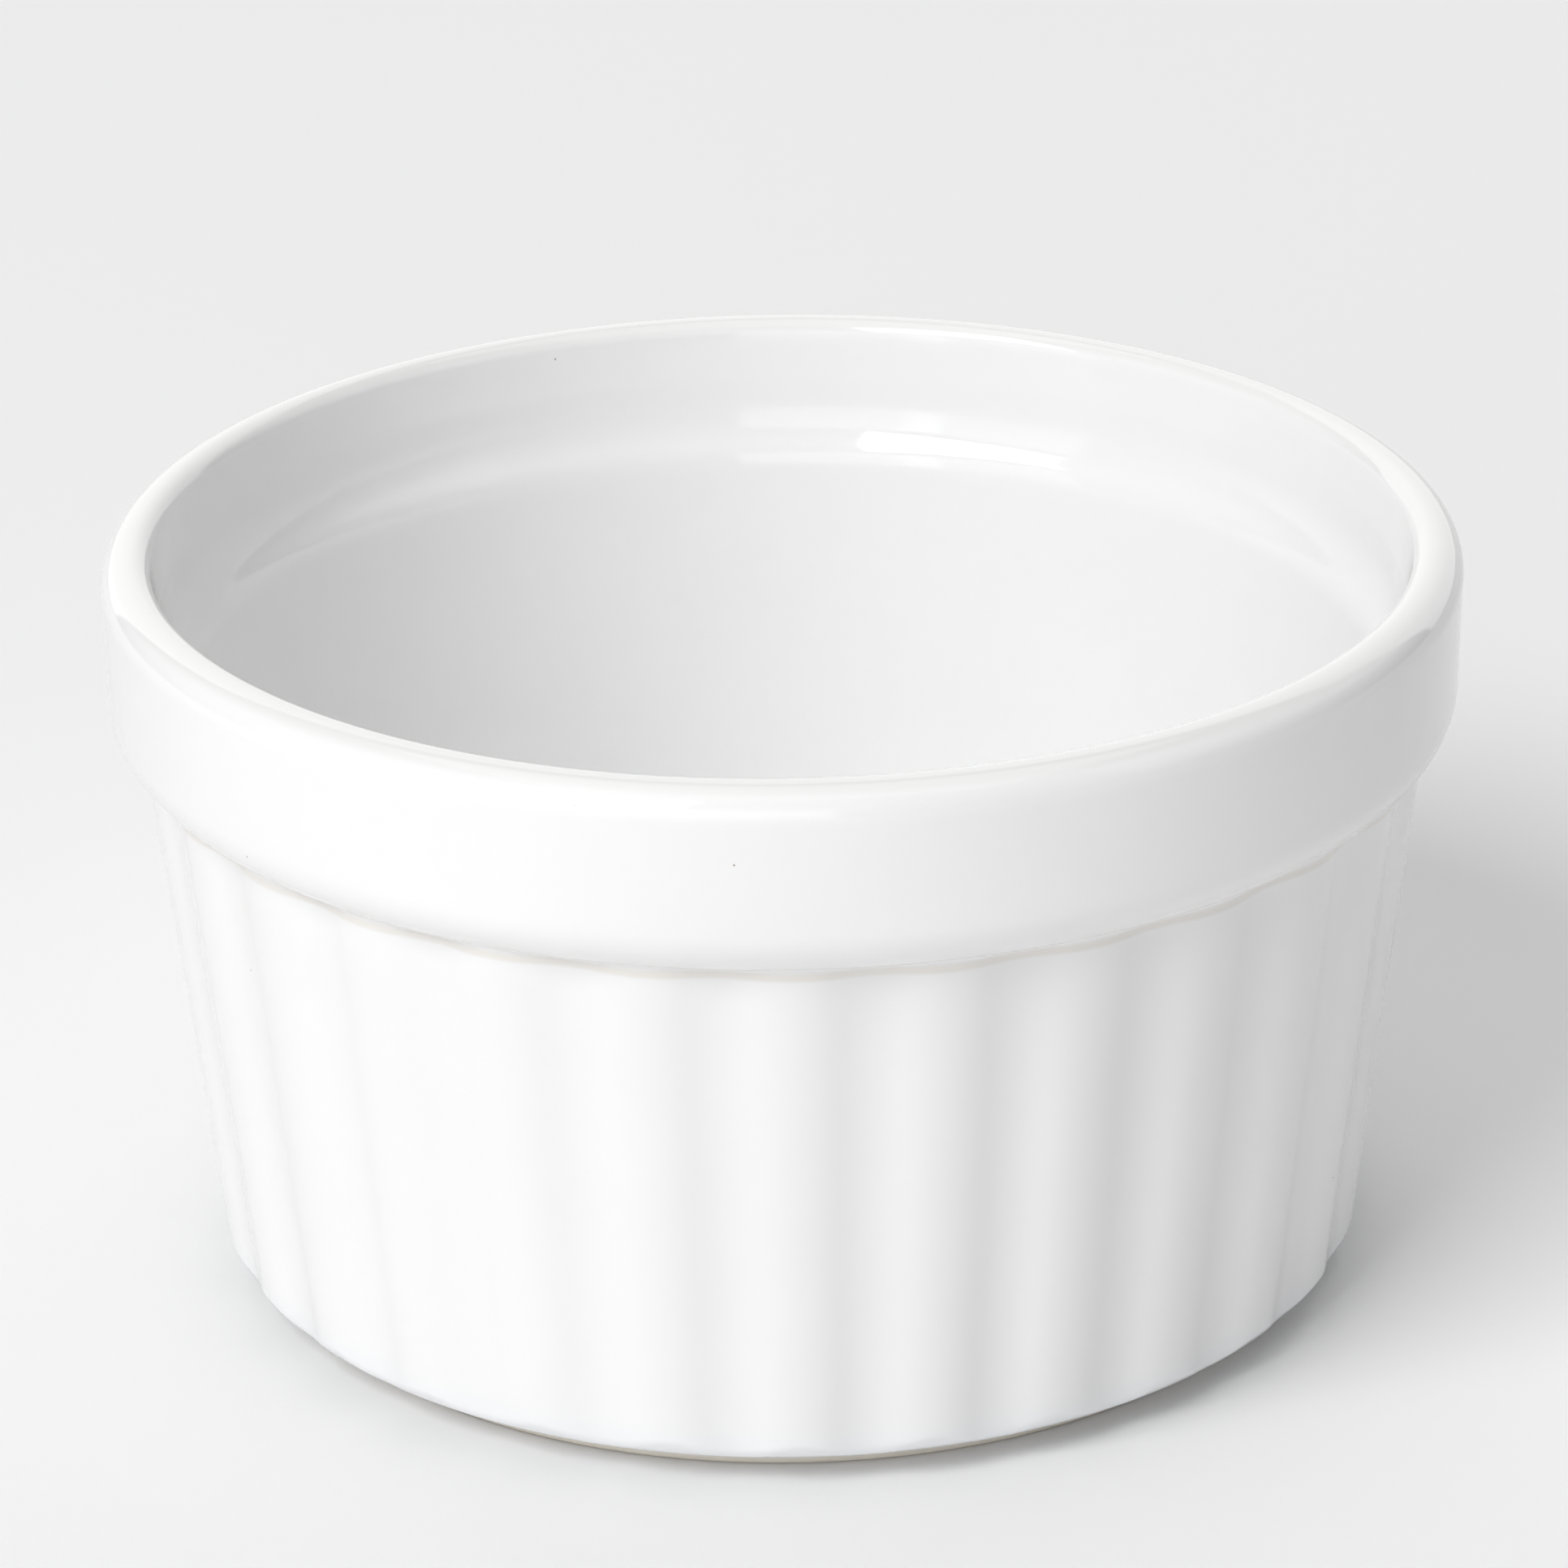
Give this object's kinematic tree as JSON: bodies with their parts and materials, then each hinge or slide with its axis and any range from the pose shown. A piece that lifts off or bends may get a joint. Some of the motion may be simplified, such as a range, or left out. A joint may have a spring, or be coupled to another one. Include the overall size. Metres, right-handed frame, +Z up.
{
  "type": "ramekin",
  "caption": "Small round straight-sided baking dish of white glazed porcelain, with a plain collar over a fluted wall and a bare foot ring.",
  "frame": {"origin": "centre of the foot ring's standing face, on the dish's axis", "axes": "+Z up along the dish's axis; +X through the crest of one ridge of the fluted wall"},
  "size_m": [0.089, 0.089, 0.0505],
  "materials": {
    "porcelain_body": "unglazed fired porcelain, fine matt",
    "glaze": "clear gloss glaze over white porcelain"
  },
  "bodies": {
    "root": {"porcelain_body": "porcelain_body", "glaze_coat": "glaze", "base_glaze": "glaze"}
  },
  "joints": []
}
